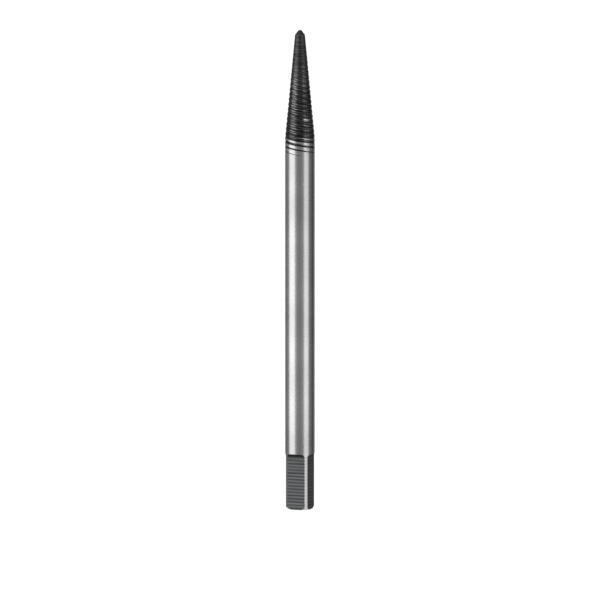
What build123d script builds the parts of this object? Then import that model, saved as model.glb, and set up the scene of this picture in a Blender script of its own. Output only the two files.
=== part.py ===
from build123d import *
from math import atan, ceil, cos, degrees, radians, tan
import os

# Screw extractor: one bar of tool steel with a square drive, a ground round shank and a tapered
# left-hand thread. The origin is the middle of the square's end face, and +Z runs to the point.

# Driving sizes, in millimetres and degrees
overall_length = 52.0
shank_diameter = 3.2
end_chamfer = 0.25

square_across_flats = 2.5
square_length = 6.1
flat_run_out_radius = 0.3

taper_on_diameter = 0.194
point_base_diameter = 1.07
point_angle = 74.0
blunt_diameter = 0.3

thread_starts = 3
groove_pitch = 0.53
groove_angle = 150.0
crest_width = 0.12
root_width = 0.03
groove_run_out = 1.95
first_groove_angle = 57.0

# The turned outline, worked out from the sizes above
shank_radius = shank_diameter / 2
taper_slope = taper_on_diameter / 2
point_height = (point_base_diameter - blunt_diameter) / 2 / tan(radians(point_angle / 2))
point_base_z = overall_length - point_height
taper_length = (shank_diameter - point_base_diameter) / taper_on_diameter
taper_base_z = point_base_z - taper_length

# The thread's form: each groove is a V that leaves a flat crest and a flat root
flank_slope = tan(radians(groove_angle / 2))
groove_depth = (groove_pitch - crest_width - root_width) / 2 / flank_slope
lead = thread_starts * groove_pitch
run_out_slope = groove_depth / groove_run_out

# How far the cutting shapes reach beyond the metal that they take off
overreach = crest_width / 4 / flank_slope
side_reach = shank_diameter


def turned_blank():
    """The bar as it leaves the lathe: chamfered end, shank, taper and blunt point."""
    outline = Polyline(
        (0, 0),
        (shank_radius - end_chamfer, 0),
        (shank_radius, end_chamfer),
        (shank_radius, taper_base_z),
        (point_base_diameter / 2, point_base_z),
        (blunt_diameter / 2, overall_length),
        (0, overall_length),
        close=True,
    )
    return revolve(Plane.XZ * make_face(outline), Axis.Z)


def flat_cutter():
    """The metal beside one flat, with the rounded end that the wheel leaves at the shank."""
    flat_depth_limit = side_reach - square_across_flats / 2
    outline = Pos(square_across_flats / 2, square_length) * Rectangle(
        flat_depth_limit, 2 * square_length, align=(Align.MIN, Align.MAX)
    )
    inner_corner = outline.vertices().group_by(Axis.Y)[-1].sort_by(Axis.X)[0]
    outline = fillet(inner_corner, flat_run_out_radius)
    return extrude(Plane.XZ * outline, side_reach, both=True)


def groove_edge(centre_z, rise, slope, half_width, height):
    """One left-hand spiral edge of a groove, at its place across the groove.

    The groove's middle follows a cone of this slope through the corner of shank and taper, and the
    height is measured from that cone. Across the groove its section leans with the taper.
    """
    path_radius = shank_radius - (centre_z - taper_base_z) * slope
    return Edge.make_helix(
        pitch=lead / cos(atan(slope)),
        height=rise,
        radius=path_radius - half_width * taper_slope + height,
        center=(0, 0, centre_z + half_width),
        angle=-degrees(atan(slope)),
        lefthand=True,
    )


def groove_stretch(centre_z, rise, slope):
    """A stretch of one groove as a solid, from the root flat to a little above the crests."""
    mouth = root_width / 2 + (groove_depth + overreach) * flank_slope
    edges = [
        groove_edge(centre_z, rise, slope, -mouth, overreach),
        groove_edge(centre_z, rise, slope, -root_width / 2, -groove_depth),
        groove_edge(centre_z, rise, slope, root_width / 2, -groove_depth),
        groove_edge(centre_z, rise, slope, mouth, overreach),
    ]
    sides = [
        Face.make_surface_from_curves(edges[i], edges[(i + 1) % len(edges)])
        for i in range(len(edges))
    ]
    ends = [
        Face(Wire.make_polygon([edge @ place for edge in edges], close=True))
        for place in (0, 1)
    ]
    return Solid(Shell(sides + ends))


def thread_cutters():
    """Every groove, in stretches of less than a turn, from off the shank to off the point.

    Along the taper the roots keep to its slope. Below it they rise more slowly, out of the shank.
    """
    first_z = taper_base_z - groove_run_out - groove_pitch
    last_z = overall_length + groove_pitch
    cutters = []
    for low_z, high_z, slope in (
        (first_z, taper_base_z, run_out_slope),
        (taper_base_z, last_z, taper_slope),
    ):
        stretches = ceil((high_z - low_z) / lead)
        rise = (high_z - low_z) / stretches
        for stretch in range(stretches):
            z = low_z + stretch * rise
            solid = groove_stretch(z, rise, slope)
            angle = first_groove_angle - 360 * (z - first_z) / lead
            for start in range(thread_starts):
                cutters.append(solid.rotate(Axis.Z, angle + start * 360 / thread_starts))
    return cutters


flat = flat_cutter()
flats = [flat.rotate(Axis.Z, 90 * side) for side in range(4)]
screw_extractor = turned_blank() - thread_cutters() - flats

os.makedirs("parts", exist_ok=True)
export_step(screw_extractor, "parts/screw_extractor.step")
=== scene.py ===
# %% [markdown]
# # Screw extractor
# A screw extractor gets a broken screw out of its hole. It is one bar of hardened tool steel: a
# wrench holds the square at its foot, and the tapered left-hand thread at its head bites into a
# hole drilled in the screw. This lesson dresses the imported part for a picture. It makes a finer
# skin of the part's form, gives it the three finishes of the real tool, and sets up a small photo
# studio.

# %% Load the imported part
from math import acos, cos, pi, radians, sin, tan

import bpy
import numpy as np
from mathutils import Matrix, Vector


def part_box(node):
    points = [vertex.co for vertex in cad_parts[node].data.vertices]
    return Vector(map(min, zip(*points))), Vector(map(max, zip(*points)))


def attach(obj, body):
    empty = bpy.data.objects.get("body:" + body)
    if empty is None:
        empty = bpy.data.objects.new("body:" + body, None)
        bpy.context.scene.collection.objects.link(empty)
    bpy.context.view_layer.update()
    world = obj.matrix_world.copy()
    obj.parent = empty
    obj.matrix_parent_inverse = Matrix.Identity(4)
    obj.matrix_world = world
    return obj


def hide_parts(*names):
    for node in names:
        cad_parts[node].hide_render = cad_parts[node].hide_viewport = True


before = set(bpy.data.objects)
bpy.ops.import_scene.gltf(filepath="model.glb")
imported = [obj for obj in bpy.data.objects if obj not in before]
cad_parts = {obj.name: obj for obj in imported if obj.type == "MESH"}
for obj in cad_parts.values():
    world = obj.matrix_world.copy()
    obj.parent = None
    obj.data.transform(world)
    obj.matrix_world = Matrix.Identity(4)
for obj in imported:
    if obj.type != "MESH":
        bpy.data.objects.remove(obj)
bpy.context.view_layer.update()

mm = 0.001

# %% [markdown]
# ## Sizes
# A turned and ground tool is described by very few numbers. They could be measured on the part's
# mesh one by one, but only its length and its shank show there cleanly. Those two are read from
# the frame, and the rest are the numbers that the solid was made from, so that the skin has its
# form. Only the fading of the grooves towards the point is the skin's own.

# %% Sizes of the bar
lowest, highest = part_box("screw_extractor")
length = highest.z - lowest.z
shank_radius = (highest.x - lowest.x) / 2
end_chamfer = 0.25 * mm

square_across_flats = 2.5 * mm
square_length = 6.1 * mm
flat_run_out_radius = 0.3 * mm

taper_slope = 0.097
point_base_radius = 0.535 * mm
point_slope = tan(radians(37))
blunt_radius = 0.15 * mm
point_base_z = length - (point_base_radius - blunt_radius) / point_slope
taper_base_z = point_base_z - (shank_radius - point_base_radius) / taper_slope
print("length", round(length / mm, 2), "mm, shank", round(2 * shank_radius / mm, 2), "mm")
print("the taper starts", round(taper_base_z / mm, 2), "mm up")

# %% Sizes of the thread
thread_starts = 3
groove_pitch = 0.53 * mm
flank_slope = tan(radians(75))
crest_width = 0.12 * mm
root_width = 0.03 * mm
groove_depth = (groove_pitch - crest_width - root_width) / 2 / flank_slope
lead = thread_starts * groove_pitch
groove_run_out = 1.95 * mm
run_out_slope = groove_depth / groove_run_out
first_groove_z = taper_base_z - groove_run_out - groove_pitch
first_groove_angle = radians(57)
fade_start_z, fade_end_z = 45.0 * mm, 50.0 * mm
depth_at_point = 0.3
print("groove depth", round(groove_depth / mm, 3), "mm, lead", round(lead / mm, 2), "mm")

# %% [markdown]
# ## The net
# The skin starts as a net wrapped round the plain bar: columns of points at fixed angles, each
# with the same number of heights. Nothing is cut yet. An even grid would be simpler to make, but a
# cutter's edge only looks crisp if points lie along it. So each column gets its heights from the
# edges that cross it: the ends of the flats, the ribs, and both lips of every groove. Sorting each
# column then joins them all into one net of four-sided cells.

# %% Angles of the columns
across_flat = 32
across_corner = 6
flat_half_angle = acos(square_across_flats / 2 / shank_radius)
quarter_turn = pi / 2
flat_angles = np.linspace(-flat_half_angle, flat_half_angle, across_flat + 1)
corner_angles = np.linspace(flat_half_angle, quarter_turn - flat_half_angle, across_corner + 1)
one_quarter = np.concatenate([flat_angles[:-1], corner_angles[:-1]])
angles = np.concatenate([one_quarter + k * quarter_turn for k in range(4)])
from_flat = np.tile(one_quarter, 4)
from_flat = np.where(from_flat > quarter_turn / 2, from_flat - quarter_turn, from_flat)
land_width = shank_radius * (quarter_turn - 2 * flat_half_angle)
print(len(angles), "columns, and a land", round(land_width / mm, 2), "mm wide on each corner")

# %% Heights up the square
rib_pitch = 0.348 * mm
points_per_rib = 8
curl_points = 9
flat_end_z = square_length - flat_run_out_radius
rib_heights = np.arange(0, flat_end_z, rib_pitch / points_per_rib)

# where a flat meets the end chamfer, and how high its rounded end climbs before it leaves the bar
chamfer_meets_flat = np.clip(
    square_across_flats / 2 / np.cos(from_flat) - (shank_radius - end_chamfer), 0, end_chamfer
)
flat_gap = square_across_flats / 2 + flat_run_out_radius - shank_radius * np.cos(from_flat)
climb = np.sqrt(flat_run_out_radius**2 - np.clip(flat_gap, 0, flat_run_out_radius) ** 2)
climb_steps = np.sin(np.linspace(0, quarter_turn, curl_points))
print(round(flat_end_z / rib_pitch, 1), "ribs on each flat")


# %% What the lathe leaves, and what the thread cutter leaves
halvings = 30


def turned_radius(z):
    """The turned outline above the square: shank, taper and point."""
    taper = shank_radius - (z - taper_base_z) * taper_slope
    point = blunt_radius + (length - z) * point_slope
    return np.minimum(shank_radius, np.minimum(taper, point))


def groove_radius(centre, offset):
    """How far a groove's wall stands from the axis, at a place across the groove."""
    above = centre - taper_base_z
    path = shank_radius - np.maximum(above, 0) * taper_slope - np.minimum(above, 0) * run_out_slope
    wall = np.maximum(np.abs(offset) - root_width / 2, 0) / flank_slope
    depth_left = np.interp(centre, [fade_start_z, fade_end_z], [1.0, depth_at_point])
    return path - offset * taper_slope - groove_depth * depth_left + wall


def lip_offset(centre, side):
    """Half the width of a groove where it opens, found by halving the gap again and again."""
    low, high = np.full(centre.shape, root_width / 2), np.full(centre.shape, groove_pitch / 2)
    for _ in range(halvings):
        middle = (low + high) / 2
        cut = groove_radius(centre, side * middle) < turned_radius(centre + side * middle)
        low, high = np.where(cut, middle, low), np.where(cut, high, middle)
    return low


groove_width = 2 * float(lip_offset(np.array([taper_base_z + lead]), 1)[0])
print("a groove is", round(groove_width / mm, 3), "mm wide on the taper")

# %% Heights of the grooves' edges
lip_round = 0.015 * mm
crossing_count = int((length - first_groove_z) / groove_pitch) + 2 * thread_starts


def groove_heights(angle):
    """Every height at which the edges of the grooves cross a column at this angle."""
    number = np.arange(crossing_count) - thread_starts
    centre = (first_groove_z + groove_pitch * number
              + lead * (first_groove_angle - angle) / (2 * pi))
    heights = [centre + groove_pitch / 2]
    for side in (-1, 1):
        lip = lip_offset(centre, side)
        inner = np.maximum(lip - lip_round, root_width / 2)
        outer = np.minimum(lip + lip_round, groove_pitch / 2)
        for offset in (root_width / 2, (root_width / 2 + inner) / 2, inner, lip, outer):
            heights.append(centre + side * offset)
    return np.concatenate(heights)


print(len(groove_heights(0.0)), "heights on each column, for", crossing_count, "crossings")

# %% Wrap the net
# the shank's own rings start a hair above the flats, so that the two never mix
hair = 0.004 * mm
shank_ring_count = 12
shank_rings = np.linspace(square_length + hair, first_groove_z, shank_ring_count)
columns = []
for index, angle in enumerate(angles):
    column = np.concatenate([
        rib_heights,
        [chamfer_meets_flat[index], end_chamfer, flat_end_z],
        flat_end_z + climb[index] * climb_steps,
        [square_length],
        shank_rings,
        np.clip(groove_heights(angle), first_groove_z, length),
        [taper_base_z, point_base_z, length],
    ])
    columns.append(np.sort(column))
heights = np.array(columns).T
rows, count = heights.shape
print("net:", rows, "heights by", count, "columns")

# %% Join the points into cells, and close the two ends
points = np.empty((rows, count, 3))
points[..., 0] = shank_radius * np.cos(angles)
points[..., 1] = shank_radius * np.sin(angles)
points[..., 2] = heights
cells = []
for row in range(rows - 1):
    here = row * count + np.arange(count)
    there = row * count + (np.arange(count) + 1) % count
    cells.append(np.stack([here, there, there + count, here + count], axis=1))
cells = np.concatenate(cells).tolist()
foot, head = rows * count, rows * count + 1
last = (rows - 1) * count
for column in range(count):
    after = (column + 1) % count
    cells.append([foot, after, column])
    cells.append([head, last + column, last + after])
points = np.concatenate([points.reshape(-1, 3), [[0, 0, 0], [0, 0, length]]])

net = bpy.data.meshes.new("extractor")
net.from_pydata(points.tolist(), [], cells)
extractor = bpy.data.objects.new("extractor", net)
bpy.context.scene.collection.objects.link(extractor)
print(len(points), "points and", len(cells), "cells")

# %% [markdown]
# ## One small helper
# Geometry trees and materials are both made of nodes. They could be built by hand in the editor,
# but a script keeps them with the numbers that they use. This function adds one node, gives it its
# settings, and plugs in what it is fed: a node or a socket is linked, and anything else is a
# value.

# %% A function that adds one node
math_node = "ShaderNodeMath"
vector_node = "ShaderNodeVectorMath"


def add(tree, kind, inputs=(), **settings):
    """Adds one node with its settings. Inputs are a list in order, or a dict by name or number."""
    node = tree.nodes.new(kind)
    for name, value in settings.items():
        setattr(node, name, value)
    pairs = inputs.items() if isinstance(inputs, dict) else enumerate(inputs)
    for key, value in pairs:
        if isinstance(value, bpy.types.Node):
            value = value.outputs[0]
        if isinstance(value, bpy.types.NodeSocket):
            tree.links.new(value, node.inputs[key])
        else:
            node.inputs[key].default_value = value
    return node


# %% [markdown]
# ## Cutting by rule
# A lathe, a thread cutter and a milling cutter all do the same thing to this bar: each leaves
# metal only below some distance from the axis. Boolean modifiers could cut the grooves, but they
# leave long thin triangles, which spoil the reflections in a polished bar. Here the form is a rule
# instead. Geometry Nodes works out how far each cutter lets a point stand from the axis, and pulls
# the point in to the least of them.

# %% The tree and its named inputs
tree = bpy.data.node_groups.new("turn, thread and mill", "GeometryNodeTree")
tree.interface.new_socket("Geometry", in_out="OUTPUT", socket_type="NodeSocketGeometry")
tree.interface.new_socket("Geometry", in_out="INPUT", socket_type="NodeSocketGeometry")
rib_depth = 0.007 * mm
lip_rounding = 0.004 * mm
sizes = {
    "Length": length,
    "Shank radius": shank_radius,
    "End chamfer": end_chamfer,
    "Taper slope": taper_slope,
    "Taper base": taper_base_z,
    "Point slope": point_slope,
    "Blunt radius": blunt_radius,
    "Thread starts": float(thread_starts),
    "Groove pitch": groove_pitch,
    "Groove depth": groove_depth,
    "Flank slope": flank_slope,
    "Root width": root_width,
    "Run-out slope": run_out_slope,
    "Lip rounding": lip_rounding,
    "First groove height": first_groove_z,
    "Fade start": fade_start_z,
    "Fade end": fade_end_z,
    "Depth at the point": depth_at_point,
    "First groove turn": first_groove_angle / (2 * pi),
    "Across flats": square_across_flats,
    "Flat end": flat_end_z,
    "Run-out radius": flat_run_out_radius,
    "Rib pitch": rib_pitch,
    "Rib depth": rib_depth,
}
for name in sizes:
    tree.interface.new_socket(name, in_out="INPUT", socket_type="NodeSocketFloat")
given = add(tree, "NodeGroupInput").outputs
print(len(sizes), "named sizes")

# %% Where a point is: how high up the bar, and how far round it
place = add(tree, "ShaderNodeSeparateXYZ", [add(tree, "GeometryNodeInputPosition")])
height = place.outputs["Z"]
turn = add(tree, math_node, [place.outputs["Y"], place.outputs["X"]], operation="ARCTAN2")
turn = add(tree, math_node, [turn, 2 * pi], operation="DIVIDE")
print("a point's place takes", len(tree.nodes), "nodes with the inputs")

# %% [markdown]
# ### The lathe
# The blank is turned: a plain shank, a taper, a blunt point, and a small chamfer round the foot. A
# profile could be spun into the same shape. As a rule it is four straight lines, and the lathe
# leaves the least of them at each height.

# %% What the lathe leaves
above_base = add(tree, math_node, [height, given["Taper base"]], operation="SUBTRACT")
fall = add(tree, math_node, [above_base, given["Taper slope"]], operation="MULTIPLY")
taper = add(tree, math_node, [given["Shank radius"], fall], operation="SUBTRACT")
below_end = add(tree, math_node, [given["Length"], height], operation="SUBTRACT")
point = add(tree, math_node, [below_end, given["Point slope"], given["Blunt radius"]],
            operation="MULTIPLY_ADD")
foot_radius = add(tree, math_node, [given["Shank radius"], given["End chamfer"]],
                  operation="SUBTRACT")
chamfer = add(tree, math_node, [foot_radius, height], operation="ADD")
turned = given["Shank radius"]
for outline in (taper, point, chamfer):
    turned = add(tree, math_node, [turned, outline], operation="MINIMUM")
print("with the lathe:", len(tree.nodes), "nodes")

# %% [markdown]
# ### The thread cutter
# Three grooves run side by side up the taper as left-hand spirals, and fade out on the shank. On
# the real tool they also get shallower towards the point, where the bar is slim. A curve could be
# swept along each of them. The rule needs no sweep: dividing the height by the pitch, and taking
# off what the turn adds, numbers the grooves, and the distance to the nearest whole number says
# where across a groove a point lies.

# %% Which groove a point is nearest to
up = add(tree, math_node, [height, given["First groove height"]], operation="SUBTRACT")
up = add(tree, math_node, [up, given["Groove pitch"]], operation="DIVIDE")
round_bar = add(tree, math_node, [given["First groove turn"], turn], operation="SUBTRACT")
round_bar = add(tree, math_node, [round_bar, given["Thread starts"]], operation="MULTIPLY")
groove_number = add(tree, math_node, [up, round_bar], operation="SUBTRACT")
nearest = add(tree, math_node, [groove_number], operation="ROUND")
from_nearest = add(tree, math_node, [groove_number, nearest], operation="SUBTRACT")
offset = add(tree, math_node, [from_nearest, given["Groove pitch"]], operation="MULTIPLY")
print("a millimetre of height is", round(mm / groove_pitch, 2), "grooves")

# %% How deep the bottom of that groove is
centre = add(tree, math_node, [height, offset], operation="SUBTRACT")
above = add(tree, math_node, [centre, given["Taper base"]], operation="SUBTRACT")
on_taper = add(tree, math_node, [above, 0.0], operation="MAXIMUM")
on_taper = add(tree, math_node, [on_taper, given["Taper slope"]], operation="MULTIPLY")
on_shank = add(tree, math_node, [above, 0.0], operation="MINIMUM")
on_shank = add(tree, math_node, [on_shank, given["Run-out slope"]], operation="MULTIPLY")
path = add(tree, math_node, [given["Shank radius"], on_taper], operation="SUBTRACT")
path = add(tree, math_node, [path, on_shank], operation="SUBTRACT")
depth_left = add(tree, "ShaderNodeMapRange", {
    "Value": centre, "From Min": given["Fade start"], "From Max": given["Fade end"],
    "To Min": 1.0, "To Max": given["Depth at the point"],
})
depth = add(tree, math_node, [given["Groove depth"], depth_left], operation="MULTIPLY")
lean = add(tree, math_node, [offset, given["Taper slope"], depth], operation="MULTIPLY_ADD")
root = add(tree, math_node, [path, lean], operation="SUBTRACT")
print("groove depth at the point", round(groove_depth * depth_at_point / mm, 3), "mm")

# %% How far its wall has risen, and what the cutter leaves
half_root = add(tree, math_node, [given["Root width"], 0.5], operation="MULTIPLY")
up_wall = add(tree, math_node, [offset], operation="ABSOLUTE")
up_wall = add(tree, math_node, [up_wall, half_root], operation="SUBTRACT")
up_wall = add(tree, math_node, [up_wall, 0.0], operation="MAXIMUM")
wall = add(tree, math_node, [up_wall, given["Flank slope"]], operation="DIVIDE")
threaded = add(tree, math_node, [root, wall], operation="ADD")
round_and_cut = add(tree, math_node, [turned, threaded, given["Lip rounding"]],
                    operation="SMOOTH_MIN")
print("with the thread cutter:", len(tree.nodes), "nodes")

# %% [markdown]
# ### The milling cutter
# Four flats make the square. Each ends in the curl of the cutter's own radius, and keeps the fine
# ribs that the cutter's feed leaves across it. The ribs could be a bump map, but they catch the
# light as separate lines in a close view, so they are in the shape: a cosine wave a few
# thousandths of a millimetre deep.

# %% The curl at the end of a flat
curl_radius = given["Run-out radius"]
rise = add(tree, math_node, [height, given["Flat end"]], operation="SUBTRACT")
rise = add(tree, math_node, [rise, 0.0], operation="MAXIMUM")
rise = add(tree, math_node, [rise, curl_radius], operation="MINIMUM")
rise_squared = add(tree, math_node, [rise, rise], operation="MULTIPLY")
radius_squared = add(tree, math_node, [curl_radius, curl_radius], operation="MULTIPLY")
drop = add(tree, math_node, [radius_squared, rise_squared], operation="SUBTRACT")
drop = add(tree, math_node, [drop], operation="SQRT")
curl = add(tree, math_node, [curl_radius, drop], operation="SUBTRACT")
print("the curl starts", round(flat_end_z / mm, 2), "mm up")

# %% The ribs across it
waves = add(tree, math_node, [height, 2 * pi], operation="MULTIPLY")
waves = add(tree, math_node, [waves, given["Rib pitch"]], operation="DIVIDE")
waves = add(tree, math_node, [waves], operation="COSINE")
rib_height = add(tree, math_node, [waves, 0.5, 0.5], operation="MULTIPLY_ADD")
on_flat = add(tree, math_node, [height, given["Flat end"]], operation="LESS_THAN")
dip = add(tree, math_node, [1.0, rib_height], operation="SUBTRACT")
dip = add(tree, math_node, [dip, given["Rib depth"]], operation="MULTIPLY")
dip = add(tree, math_node, [dip, on_flat], operation="MULTIPLY")
print("ribs", round(rib_pitch / mm, 3), "mm apart and", round(rib_depth / mm, 3), "mm high")

# %% What the milling cutter leaves
quarters = add(tree, math_node, [turn, 4.0], operation="MULTIPLY")
whole_quarters = add(tree, math_node, [quarters], operation="ROUND")
from_middle = add(tree, math_node, [quarters, whole_quarters], operation="SUBTRACT")
from_middle = add(tree, math_node, [from_middle, quarter_turn], operation="MULTIPLY")
stand_off = add(tree, math_node, [given["Across flats"], 0.5, curl], operation="MULTIPLY_ADD")
stand_off = add(tree, math_node, [stand_off, dip], operation="SUBTRACT")
square_end = add(tree, math_node, [given["Flat end"], curl_radius], operation="ADD")
square_end = add(tree, math_node, [square_end, hair / 2], operation="ADD")
beyond_square = add(tree, math_node, [height, square_end], operation="GREATER_THAN")
stand_off = add(tree, math_node, [stand_off, beyond_square], operation="ADD")
share_outward = add(tree, math_node, [from_middle], operation="COSINE")
milled = add(tree, math_node, [stand_off, share_outward], operation="DIVIDE")
print("with the milling cutter:", len(tree.nodes), "nodes")

# %% The least of the three, and where it puts the point
least = add(tree, math_node, [round_and_cut, milled], operation="MINIMUM")
cut_depth = add(tree, math_node, [turned, least], operation="SUBTRACT")
outward = add(tree, "ShaderNodeCombineXYZ", [place.outputs["X"], place.outputs["Y"], 0.0])
outward = add(tree, vector_node, [outward], operation="NORMALIZE")
moved = add(tree, vector_node, {0: outward, "Scale": least}, operation="SCALE")
lifted = add(tree, "ShaderNodeCombineXYZ", [0.0, 0.0, height])
moved = add(tree, vector_node, [moved, lifted], operation="ADD")
print("with the pull inwards:", len(tree.nodes), "nodes")

# %% [markdown]
# ### Marks for the finishes
# The real tool's finishes follow its cuts: black where it was cut, bare where it was ground, worn
# where it is touched. The materials could guess that from heights and angles, but the tree already
# knows it, so it stores it on the skin under four names:
# - wear_and_shade: 1 on a crest of the thread or the top of a rib, less between two ribs, and 0 at
#   the bottom of a groove, for wear and for painted shade in the hollows;
# - across_groove: 0 at the bottom of a groove, up to 1 half way to the next one;
# - bright: 1 where the bar is still at its full turned size below the taper, which grinding bares;
# - on_square: 1 where the milling cutter was the one that cut.

# %% How worn each place is, and where shade is painted
on_square = add(tree, math_node, [milled, round_and_cut], operation="LESS_THAN")
across_groove = add(tree, math_node, [from_nearest], operation="ABSOLUTE")
across_groove = add(tree, math_node, [across_groove, 2.0], operation="MULTIPLY")
# near 0 at the bottom of a groove, where the thread is painted darkest: partly a thicker film,
# partly painted shade
crest = add(tree, math_node, [cut_depth, given["Groove depth"]], operation="DIVIDE")
crest = add(tree, math_node, [1.0, crest], operation="SUBTRACT")
# rib tops get more than the hollows between them: partly wear, partly painted light and shade
# along the ribs
wear_and_shade_between_ribs = 0.32
rib_wear_and_shade = add(tree, math_node, [rib_height, 1 - wear_and_shade_between_ribs, wear_and_shade_between_ribs],
               operation="MULTIPLY_ADD")
rib_wear_and_shade = add(tree, math_node, [rib_wear_and_shade, on_flat], operation="MULTIPLY")
wear_and_shade = add(tree, "ShaderNodeMix", {"Factor": on_square, "A": crest, "B": rib_wear_and_shade},
           data_type="FLOAT")
wear_and_shade = add(tree, "ShaderNodeClamp", [wear_and_shade])
print("between two ribs the wear is", wear_and_shade_between_ribs)

# %% What grinding bares
no_cut = 0.0008 * mm
edge_allowance = 0.01 * mm
full_size = add(tree, math_node, [cut_depth, no_cut], operation="LESS_THAN")
taper_edge = add(tree, math_node, [given["Taper base"], edge_allowance], operation="ADD")
below_taper = add(tree, math_node, [height, taper_edge], operation="LESS_THAN")
above_foot = add(tree, math_node, [height, edge_allowance], operation="GREATER_THAN")
bright = add(tree, math_node, [below_taper, above_foot], operation="MULTIPLY")
bright = add(tree, math_node, [full_size, bright], operation="MULTIPLY")
print("bare where less than", round(no_cut / mm, 4), "mm is cut off")

# %% Store the four marks, then move the points
shape = given["Geometry"]
marks = [
    ("wear_and_shade", wear_and_shade, "POINT"),
    ("across_groove", across_groove, "POINT"),
    ("bright", bright, "FACE"),
    ("on_square", on_square, "FACE"),
]
for name, value, domain in marks:
    shape = add(tree, "GeometryNodeStoreNamedAttribute",
                {"Geometry": shape, "Name": name, "Value": value},
                data_type="FLOAT", domain=domain)
shape = add(tree, "GeometryNodeSetPosition", {"Geometry": shape, "Position": moved})
print("with the marks:", len(tree.nodes), "nodes")

# %% [markdown]
# ### Doubles and sharp edges
# Columns of sorted heights leave many points in one place, and merging by distance joins them.
# Metal that a cutter has left is smooth right up to its edge. Smooth shading alone would blur the
# edges, so every edge that bends by more than 20 degrees is marked sharp.

# %% Join doubles and mark sharp edges
join_distance = 0.0002 * mm
sharp_angle = radians(20)
shape = add(tree, "GeometryNodeMergeByDistance", {"Geometry": shape, "Distance": join_distance})
bend = add(tree, "GeometryNodeInputMeshEdgeAngle")
is_sharp = add(tree, math_node, [bend.outputs["Unsigned Angle"], sharp_angle],
               operation="GREATER_THAN")
shape = add(tree, "GeometryNodeSetShadeSmooth",
            {"Geometry": shape, "Shade Smooth": True}, domain="FACE")
shape = add(tree, "GeometryNodeSetShadeSmooth",
            {"Geometry": shape, "Selection": is_sharp, "Shade Smooth": False}, domain="EDGE")
print("the tree has", len(tree.nodes), "nodes before the finishes")

# %% [markdown]
# ## Finishes
# The tool is blackened after it is threaded and its square is milled, and then its shank is
# ground. Grinding takes the black off wherever the bar is at its full size: the shank, the four
# corners of the square, and the crests of the thread's run-out. Everything cut below that size
# stays black. Three materials could be painted on by hand. Here each is a small tree of nodes that
# reads real millimetres, so its grain keeps its size at any distance.


# %% Colours, and a start for each material
def hex_colour(text):
    """An sRGB hex colour as the linear values that shaders work in."""
    parts = [int(text[i:i + 2], 16) / 255 for i in (1, 3, 5)]
    linear = [p / 12.92 if p <= 0.04045 else ((p + 0.055) / 1.055) ** 2.4 for p in parts]
    return (*linear, 1.0)


def empty_material(name):
    """A material with no nodes yet, and its node tree."""
    material = bpy.data.materials.new(name)
    material.use_nodes = True
    material.node_tree.nodes.clear()
    return material, material.node_tree


print("mid grey #808080 is", round(hex_colour("#808080")[0], 3), "in linear light")

# %% [markdown]
# ### Ground tool steel
# The shank is bare steel, ground between wheels. To the eye it is a mirror that smears a little,
# since the wheel leaves scratches a few hundredths of a millimetre apart, running round the bar.
# An anisotropic shader could smear it, but the scratches are also uneven, and noise stretched
# round the bar gives both at once. Real scratches are too fine to show, so these are drawn
# coarser.

# %% Ground tool steel: its scratches
ground_steel, nodes = empty_material("ground tool steel")
where = add(nodes, "ShaderNodeTexCoord").outputs["Object"]
scratch_gap = 0.16 * mm
scratch_length = 3.0 * mm
stretch = (1 / scratch_length, 1 / scratch_length, 1 / scratch_gap)
grit = add(nodes, "ShaderNodeMapping", {"Vector": where, "Scale": stretch})
scratches = add(nodes, "ShaderNodeTexNoise",
                {"Vector": grit, "Scale": 1.0, "Detail": 3.0, "Roughness": 0.6})
tone = add(nodes, "ShaderNodeMapRange", {"Value": scratches, "To Min": 0.255, "To Max": 0.285})
relief = add(nodes, "ShaderNodeBump",
             {"Strength": 0.006, "Distance": 0.02 * mm, "Height": scratches})
print("scratches", round(scratch_gap / mm, 2), "by", round(scratch_length / mm, 1), "mm")

# %% Ground tool steel: its colour
# It clouds a little where it was handled, and the corners of the square are darker.
cloud_size = 5.0 * mm
clouds = add(nodes, "ShaderNodeTexNoise",
             {"Vector": where, "Scale": 1 / cloud_size, "Detail": 1.0})
clouds = add(nodes, "ShaderNodeMapRange", {"Value": clouds, "From Min": 0.35, "From Max": 0.65})
steel_colour = add(nodes, "ShaderNodeMix", {
    "Factor": clouds, "A": hex_colour("#BBBBBB"), "B": hex_colour("#CDCDCD"),
}, data_type="RGBA").outputs["Result"]
up_bar = add(nodes, "ShaderNodeSeparateXYZ", [where]).outputs["Z"]
corners_darker_below_z = square_length - 0.6 * mm
darker_on_square = add(nodes, "ShaderNodeMapRange",
              {"Value": up_bar, "From Min": square_length, "From Max": corners_darker_below_z})
steel_colour = add(nodes, "ShaderNodeMix", {
    "Factor": darker_on_square, "A": steel_colour, "B": hex_colour("#B4B4B4"),
}, data_type="RGBA").outputs["Result"]
steel = add(nodes, "ShaderNodeBsdfPrincipled", {
    "Base Color": steel_colour, "Metallic": 1.0, "Roughness": tone, "Normal": relief,
})
add(nodes, "ShaderNodeOutputMaterial", [steel])
print(ground_steel.name, "has", len(nodes.nodes), "nodes")

# %% [markdown]
# ### Black oxide on the cut thread
# Hot black oxide is a film far thinner than a hair on the steel, and the steel under it still
# mirrors. Black paint would be a dark matt surface with a clear gloss, which looks like plastic
# here, so the film is made as a dark metal. It is painted blackest at the bottom of a groove,
# partly a thicker film and partly painted shade, and a painted highlight runs as a fine line along
# each wall. Handling burnishes the crests a little, in patches, and the cutter's own marks run
# along every groove. Towards the point the film is duller, and shows the lathe's fine rings
# instead of those marks; there the painted shade and highlight even out.

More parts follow.
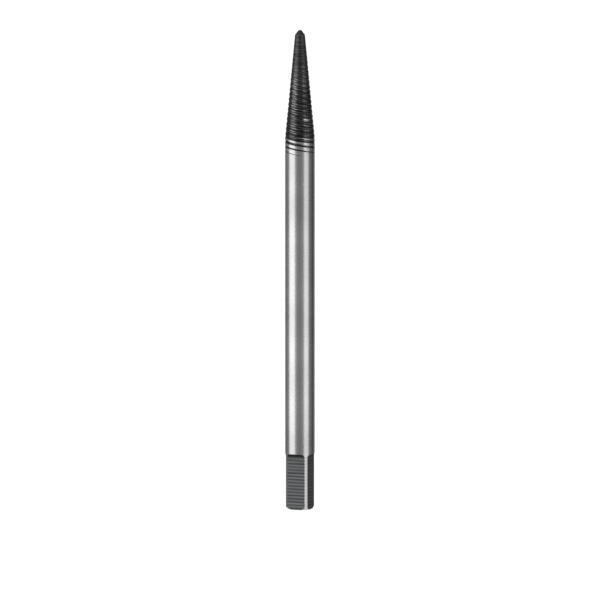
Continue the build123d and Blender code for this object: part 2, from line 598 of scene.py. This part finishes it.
# %% Black oxide on the cut thread: patches
black_thread, nodes = empty_material("black oxide on the cut thread")
where = add(nodes, "ShaderNodeTexCoord").outputs["Object"]
patch_size = 0.5 * mm
patches = add(nodes, "ShaderNodeTexNoise",
              {"Vector": where, "Scale": 1 / patch_size, "Detail": 3.0})
patches = add(nodes, "ShaderNodeMapRange",
              {"Value": patches, "From Min": 0.3, "From Max": 0.7, "To Min": 0.65, "To Max": 1.0})
print("patches", round(patch_size / mm, 1), "mm across")

# %% Black oxide on the cut thread: tool marks that follow the grooves
marks_per_wall = 3.0
mark_length = 1.8 * mm
stretch = (1 / mark_length, 1 / mark_length, 2 / mark_length)
along = add(nodes, vector_node, [where, stretch], operation="MULTIPLY")
along = add(nodes, "ShaderNodeSeparateXYZ", [along]).outputs
across_groove = add(nodes, "ShaderNodeAttribute", attribute_name="across_groove").outputs["Fac"]
across = add(nodes, math_node, [across_groove, marks_per_wall, along["Z"]],
             operation="MULTIPLY_ADD")
track = add(nodes, "ShaderNodeCombineXYZ", [along["X"], along["Y"], across])
tracks = add(nodes, "ShaderNodeTexNoise", {"Vector": track, "Scale": 1.0, "Detail": 2.0})
print(marks_per_wall, "marks on a wall, each", round(mark_length / mm, 1), "mm long")

# %% Black oxide on the cut thread: fine rings towards the point
rings_start_z, rings_only_z = 44.5 * mm, 49.5 * mm
up_bar = add(nodes, "ShaderNodeSeparateXYZ", [where]).outputs["Z"]
near_point = add(nodes, "ShaderNodeMapRange",
                 {"Value": up_bar, "From Min": rings_start_z, "From Max": rings_only_z})
ring_gap = 0.12 * mm
ring_length = 3.0 * mm
stretch = (1 / ring_length, 1 / ring_length, 1 / ring_gap)
rings = add(nodes, "ShaderNodeMapping", {"Vector": where, "Scale": stretch})
rings = add(nodes, "ShaderNodeTexNoise", {"Vector": rings, "Scale": 1.0, "Detail": 2.0})
rings = add(nodes, "ShaderNodeMapRange", {
    "Value": rings, "From Min": 0.3, "From Max": 0.7, "To Min": 0.42, "To Max": 0.58,
})
lines = add(nodes, "ShaderNodeMix", {"Factor": near_point, "A": tracks, "B": rings},
            data_type="FLOAT")
tool_marks = add(nodes, "ShaderNodeMapRange", {
    "Value": lines, "From Min": 0.42, "From Max": 0.58, "To Min": 0.05, "To Max": 1.2,
})
print("rings", round(ring_gap / mm, 2), "mm apart, from", round(rings_start_z / mm, 1), "mm up")

# %% Black oxide on the cut thread: wear, painted shade and painted highlight lines
# a painted highlight: a fine light line along the middle of each wall of a groove
painted_highlight_line = add(nodes, math_node, [across_groove, 2 * pi], operation="MULTIPLY")
painted_highlight_line = add(nodes, math_node, [painted_highlight_line], operation="COSINE")
painted_highlight_line = add(nodes, math_node, [painted_highlight_line, -0.5, 0.5], operation="MULTIPLY_ADD")
# 0 at the bottom of a groove, painted darkest there: partly a thicker film, partly painted shade
crest_wear_and_root_shade = add(nodes, "ShaderNodeAttribute", attribute_name="wear_and_shade").outputs["Fac"]
painted_highlight_share = 0.9
wear_and_painted_light = add(nodes, "ShaderNodeMix", {"Factor": painted_highlight_share, "A": crest_wear_and_root_shade, "B": painted_highlight_line},
           data_type="FLOAT")
wear_and_painted_light = add(nodes, "ShaderNodeMapRange", {"Value": wear_and_painted_light, "To Min": 0.0, "To Max": 1.2})
# near the point the painted shade and highlight give way to one even level
wear_and_light_near_point = 0.66
wear_and_painted_light = add(nodes, "ShaderNodeMix", {"Factor": near_point, "A": wear_and_painted_light, "B": wear_and_light_near_point},
           data_type="FLOAT")
for share in (patches, tool_marks):
    wear_and_painted_light = add(nodes, math_node, [wear_and_painted_light, share], operation="MULTIPLY")
print("of the wear,", painted_highlight_share, "lies on a line along each wall")

# %% Black oxide on the cut thread: one crest rubbed bright
rub_z = 42.42 * mm
rub_angle = radians(-37)
rub_radius = shank_radius - (rub_z - taper_base_z) * taper_slope
rub_centre = (rub_radius * cos(rub_angle), rub_radius * sin(rub_angle), rub_z)
rub_half_length, rub_half_height = 0.5 * mm, 0.25 * mm
rub_reach = (1 / rub_half_length, 1 / rub_half_length, 1 / rub_half_height)
away = add(nodes, vector_node, [where, rub_centre], operation="SUBTRACT")
away = add(nodes, vector_node, [away, rub_reach], operation="MULTIPLY")
away = add(nodes, vector_node, [away], operation="LENGTH").outputs["Value"]
rubbed = add(nodes, "ShaderNodeMapRange", {
    "Value": away, "From Min": 0.6, "From Max": 1.0, "To Min": 1.0, "To Max": 0.0,
})
on_crest = add(nodes, "ShaderNodeMapRange",
               {"Value": across_groove, "From Min": 0.72, "From Max": 0.86})
rubbed = add(nodes, math_node, [rubbed, on_crest], operation="MULTIPLY")
print("the rubbed crest is", round(rub_z / mm, 1), "mm up")

# %% Black oxide on the cut thread: colour and gloss
# dark at the bottom of a groove, light along the walls and crests: wear, painted shade and painted
# highlights
oxide_colour = add(nodes, "ShaderNodeMix", {
    "Factor": wear_and_painted_light, "A": hex_colour("#2A2A2B"), "B": hex_colour("#7A7A7A"),
}, data_type="RGBA").outputs["Result"]
oxide_colour = add(nodes, "ShaderNodeMix", {
    "Factor": rubbed, "A": oxide_colour, "B": hex_colour("#C4C4C4"),
}, data_type="RGBA").outputs["Result"]
mark_depth = 0.03 * mm
unrubbed = add(nodes, math_node, [1.0, rubbed], operation="SUBTRACT")
relief = add(nodes, "ShaderNodeBump",
             {"Strength": unrubbed, "Distance": mark_depth, "Height": lines})
gloss = add(nodes, math_node, [wear_and_painted_light, rubbed], operation="MAXIMUM")
tone = add(nodes, "ShaderNodeMapRange", {"Value": gloss, "To Min": 0.27, "To Max": 0.18})
duller_near_point = 0.2
tone = add(nodes, math_node, [near_point, duller_near_point, tone], operation="MULTIPLY_ADD")
oxide = add(nodes, "ShaderNodeBsdfPrincipled", {
    "Base Color": oxide_colour, "Metallic": 1.0, "Roughness": tone, "Normal": relief,
})
add(nodes, "ShaderNodeOutputMaterial", [oxide])
print(black_thread.name, "has", len(nodes.nodes), "nodes")

# %% [markdown]
# ### Black oxide on the milled square
# The same film lies on the flats, but a milled face is rougher than a ground one, so it is duller
# and greyer there. It could share the thread's material with one number changed. It has its own,
# because its marks are different: the tops of the ribs are lighter than the hollows between them,
# partly wear from the wrench and partly painted shade, fine streaks run across with the cutter's
# feed, and the flats are painted darker over the last millimetre below the shank, a painted shade.

# %% Black oxide on the milled square: streaks, wear and painted shade
black_square, nodes = empty_material("black oxide on the milled square")
where = add(nodes, "ShaderNodeTexCoord").outputs["Object"]
streak_gap = 0.12 * mm
streak_length = 2.5 * mm
stretch = (1 / streak_length, 1 / streak_length, 1 / streak_gap)
feed = add(nodes, "ShaderNodeMapping", {"Vector": where, "Scale": stretch})
streaks = add(nodes, "ShaderNodeTexNoise", {"Vector": feed, "Scale": 1.0, "Detail": 2.0})
streaks = add(nodes, "ShaderNodeMapRange",
              {"Value": streaks, "From Min": 0.35, "From Max": 0.65, "To Min": 0.6, "To Max": 1.0})
up_square = add(nodes, "ShaderNodeSeparateXYZ", [where]).outputs["Z"]
# painted shade: the flats are darker over the 1.2 mm below the shank
painted_shade_ends_z = square_length - 1.2 * mm
darker_on_square = add(nodes, "ShaderNodeMapRange", {
    "Value": up_square, "From Min": square_length, "From Max": painted_shade_ends_z,
    "To Min": 0.7, "To Max": 1.0,
})
# the ribs' mark: tops lighter than the hollows, partly wear, partly painted shade
wear_and_painted_light = add(nodes, "ShaderNodeAttribute", attribute_name="wear_and_shade").outputs["Fac"]
for share in (streaks, darker_on_square):
    wear_and_painted_light = add(nodes, math_node, [wear_and_painted_light, share], operation="MULTIPLY")
print("streaks", round(streak_gap / mm, 2), "by", round(streak_length / mm, 1), "mm")

# %% Black oxide on the milled square: colour and gloss
oxide_colour = add(nodes, "ShaderNodeMix", {
    "Factor": wear_and_painted_light, "A": hex_colour("#272728"), "B": hex_colour("#757677"),
}, data_type="RGBA").outputs["Result"]
tone = add(nodes, "ShaderNodeMapRange", {"Value": wear_and_painted_light, "To Min": 0.42, "To Max": 0.34})
oxide = add(nodes, "ShaderNodeBsdfPrincipled", {
    "Base Color": oxide_colour, "Metallic": 1.0, "Roughness": tone,
})
add(nodes, "ShaderNodeOutputMaterial", [oxide])
print(black_square.name, "has", len(nodes.nodes), "nodes")

# %% [markdown]
# ## Give each face its finish
# Each face gets one of the three finishes by the marks that it carries. Material slots could be
# filled by hand, but the marks already say where grinding and milling reached. The tree then runs
# once, and its result is kept as a plain mesh, so that the skin no longer depends on the modifier.

# %% Finish the tree
shape = add(tree, "GeometryNodeRealizeInstances", [shape])
shape = add(tree, "GeometryNodeSetMaterial", {"Geometry": shape, "Material": black_thread})
for mark_name, finish in [("on_square", black_square), ("bright", ground_steel)]:
    mark = add(tree, "GeometryNodeInputNamedAttribute", {"Name": mark_name}, data_type="FLOAT")
    chosen = add(tree, math_node, [mark, 0.5], operation="GREATER_THAN")
    shape = add(tree, "GeometryNodeSetMaterial",
                {"Geometry": shape, "Selection": chosen, "Material": finish})
add(tree, "NodeGroupOutput", [shape])
print("the whole tree has", len(tree.nodes), "nodes")

# %% Run the tree and keep a plain mesh
cutting = extractor.modifiers.new("cut", "NODES")
cutting.node_group = tree
for item in tree.interface.items_tree:
    if item.in_out == "INPUT" and item.name in sizes:
        cutting[item.identifier] = sizes[item.name]
extractor.update_tag()
bpy.context.view_layer.update()
shown = extractor.evaluated_get(bpy.context.evaluated_depsgraph_get())
finished = bpy.data.meshes.new_from_object(shown)
extractor.modifiers.remove(cutting)
extractor.data = finished
triangles = sum(len(face.vertices) - 2 for face in finished.polygons)
print("extractor:", len(finished.vertices), "points,", triangles, "triangles")
for slot, material in enumerate(finished.materials):
    faces = sum(face.material_index == slot for face in finished.polygons)
    print("  ", material.name, "on", faces, "faces")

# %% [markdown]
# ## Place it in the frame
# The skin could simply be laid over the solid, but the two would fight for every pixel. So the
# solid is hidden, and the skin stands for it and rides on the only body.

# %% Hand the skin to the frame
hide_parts("screw_extractor")
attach(extractor, "root")
print("the skin stands for screw_extractor")

# %% [markdown]
# ## Camera
# A slim bar looks straight-sided only from far off. A short lens close by would make the foot
# larger than the head, so a long lens looks at it from a metre away, a little from above. The
# camera stands between two flats, nearer to the one on its left.

# %% Set the camera up
camera_azimuth = radians(21.2)
camera_elevation = radians(7.5)
camera_distance = 1.0
aim = Vector((0, 0, 22.74 * mm))
pixels_per_mm = 9.27
frame_pixels = 600
camera_data = bpy.data.cameras.new("camera")
camera_data.sensor_width = 36.0
camera_data.lens = pixels_per_mm / mm * camera_data.sensor_width * camera_distance / frame_pixels
camera_data.clip_start = 0.01
camera_data.clip_end = 100
camera = bpy.data.objects.new("camera", camera_data)
bpy.context.scene.collection.objects.link(camera)
towards = Vector((
    sin(camera_azimuth) * cos(camera_elevation),
    -cos(camera_azimuth) * cos(camera_elevation),
    sin(camera_elevation),
))
camera.location = aim + towards * camera_distance
camera.rotation_euler = towards.to_track_quat("Z", "Y").to_euler()
bpy.context.scene.camera = camera
print("lens", round(camera_data.lens), "mm")

# %% [markdown]
# ## Diffusers
# Bare steel shows what stands around it. A round bar mirrors everything from its left to its right
# as upright stripes, and its white stripes are tall soft lights. A picture of a studio wrapped
# round the scene would do, but three area lamps give the same stripes with sizes that can be read
# here.

# %% Three tall soft lights
floor_z = -0.17
diffuser_distance = 0.25


def diffuser(name, from_camera, wide, radiance, top):
    """A tall soft light. Both angles are in degrees: how far right of the camera, and how wide."""
    tall = top - floor_z
    width = 2 * diffuser_distance * tan(radians(wide / 2))
    light = bpy.data.lights.new(name, "AREA")
    light.shape = "RECTANGLE"
    light.size = width
    light.size_y = tall
    light.energy = radiance * pi * width * tall
    lamp = bpy.data.objects.new(name, light)
    bpy.context.scene.collection.objects.link(lamp)
    angle = camera_azimuth - pi / 2 + radians(from_camera)
    out = Vector((cos(angle), sin(angle), 0))
    lamp.location = out * diffuser_distance + Vector((0, 0, (top + floor_z) / 2))
    lamp.rotation_euler = out.to_track_quat("Z", "Y").to_euler()
    lamp.visible_camera = False
    print(name, round(width, 3), "m wide,", round(tall, 2), "m tall")


diffuser("left diffuser", from_camera=-66.5, wide=50, radiance=1.39, top=0.28)
diffuser("right diffuser", from_camera=50.5, wide=38, radiance=1.1, top=0.09)
diffuser("back diffuser", from_camera=180, wide=26, radiance=1.2, top=0.28)

# %% [markdown]
# ## Grey cards
# Between the lights the bar mirrors the room, as its grey stripes. Grey cards stand round it
# there, and each is one stripe. Ordinary cards would also shade the room and darken everything in
# it. Only metal and glass see these, by their ray visibility, so a matt thing would still be lit
# as in an open room.


# %% A matt surface that is seen partly or wholly as its plain colour
def seen_not_lit(nodes):
    """1 for a camera, glossy or transmission ray, and 0 for the rays that light things."""
    path = add(nodes, "ShaderNodeLightPath").outputs
    seen = add(nodes, math_node, [path["Is Camera Ray"], path["Is Glossy Ray"]],
               operation="MAXIMUM")
    return add(nodes, math_node, [seen, path["Is Transmission Ray"]], operation="MAXIMUM")


def stage_piece(name, points, faces, colour, plain_share, strength):
    """A card or floor. Its plain share shows its colour at a set strength, the rest is lit."""
    material, nodes = empty_material(name)
    share = add(nodes, math_node, [seen_not_lit(nodes), plain_share], operation="MULTIPLY")
    matt = add(nodes, "ShaderNodeBsdfDiffuse", {"Color": hex_colour(colour)})
    plain = add(nodes, "ShaderNodeEmission", {"Color": hex_colour(colour), "Strength": strength})
    both = add(nodes, "ShaderNodeMixShader", [share, matt, plain])
    add(nodes, "ShaderNodeOutputMaterial", [both])
    mesh = bpy.data.meshes.new(name)
    mesh.from_pydata(points, [], faces)
    mesh.materials.append(material)
    piece = bpy.data.objects.new(name, mesh)
    bpy.context.scene.collection.objects.link(piece)
    return piece


# %% Cards bent round the bar
tent_radius = 0.3
card_steps = 24
print("the cards stand", tent_radius, "m from the bar")


def arc(start, end, steps, radius, z):
    """Points at one height round the bar, between two angles from the camera, to the right."""
    angles = camera_azimuth - pi / 2 + np.radians(np.linspace(start, end, steps + 1))
    return [(radius * cos(a), radius * sin(a), z) for a in angles]


def grey_card(name, points, faces, colour):
    """A plain grey surface that only metal and glass see."""
    piece = stage_piece(name, points, faces, colour, plain_share=1.0, strength=1.0)
    piece.visible_camera = piece.visible_diffuse = piece.visible_shadow = False


def standing_cards(rows, low, high):
    """A row of standing cards, each from one angle to another."""
    for name, start, end, colour in rows:
        points = arc(start, end, card_steps, tent_radius, low)
        points += arc(start, end, card_steps, tent_radius, high)
        faces = []
        for a in range(card_steps):
            b = a + card_steps + 1
            faces.append([a + 1, a, b, b + 1])
        grey_card(name, points, faces, colour)
    print(len(rows), "cards from", low, "to", high, "m")


# %% The cards that the shank mirrors
middle_z = 0.06
standing_cards([
    ("left card", -140, -50, "#8A8A8A"),
    ("left edge card", -50, -28, "#BCBCBC"),
    ("front left card", -28, -9, "#9A9A9A"),
    ("lens gap card", -9, 5, "#8C8C8C"),
    ("front right card", 5, 45, "#9C9C9C"),
    ("right card", 45, 105, "#7A7A7A"),
    ("back right card", 105, 135, "#505050"),
    ("back card", 135, 180, "#A4A4A4"),
    ("back left card", 180, 220, "#606060"),
], floor_z, middle_z)

# %% The cards that the taper mirrors, since it leans back
tent_top = 0.3
standing_cards([
    ("upper left card", -140, -28, "#8A8A8A"),
    ("upper front card", -28, 45, "#6E6E6E"),
    ("upper right card", 45, 126, "#929292"),
    ("upper back card", 126, 220, "#606060"),
], middle_z, tent_top)

# %% A card over the top, and a mat on the floor
lid_radius = 1.05 * tent_radius
lid_sides = 32
lid_points = arc(360, 0, lid_sides, lid_radius, tent_top)[:-1]
grey_card("top card", lid_points, [list(range(len(lid_points)))], "#B4B4B4")
mat_z = floor_z + mm
mat_start, mat_end, mat_steps = -35, 80, 23
mat_points = [(0, 0, mat_z)] + arc(mat_start, mat_end, mat_steps, tent_radius, mat_z)
grey_card("grey mat", mat_points, [list(range(len(mat_points)))], "#404040")
print("a lid with", lid_sides, "sides, and a mat of", mat_end - mat_start, "degrees")

# %% [markdown]
# ## Floor and room
# The bar is photographed on white. A white floor under plain light renders grey, and more light
# would bleach the bar. So half of the floor's white is its own, which shows only to the camera and
# in reflections, and the other half is lit and keeps the shadow. The room does the same: it lights
# the bar at a plain level and is seen as white. A tool this slim is held upright by its square, so
# the floor lies well below it.

# %% Floor
half = 8.0
corners = [(-half, -half), (half, -half), (half, half), (-half, half)]
floor_points = [(x, y, floor_z) for x, y in corners]
floor_plain_share, floor_strength = 0.5, 1.6
stage_piece("pale floor", floor_points, [[0, 1, 2, 3]], "#FFFFFF",
            floor_plain_share, floor_strength)
print("the floor lies", -floor_z, "m below the foot of the bar")

# %% Room
lit_level, seen_level = 0.5, 1.0
world = bpy.data.worlds.new("pale room")
world.use_nodes = True
nodes = world.node_tree
nodes.nodes.clear()
level = add(nodes, "ShaderNodeMapRange",
            {"Value": seen_not_lit(nodes), "To Min": lit_level, "To Max": seen_level})
room = add(nodes, "ShaderNodeBackground", {"Color": (1, 1, 1, 1), "Strength": level})
add(nodes, "ShaderNodeOutputWorld", [room])
bpy.context.scene.world = world
bpy.context.scene.view_settings.view_transform = "Standard"
print("the room lights at", lit_level, "and is seen at", seen_level)
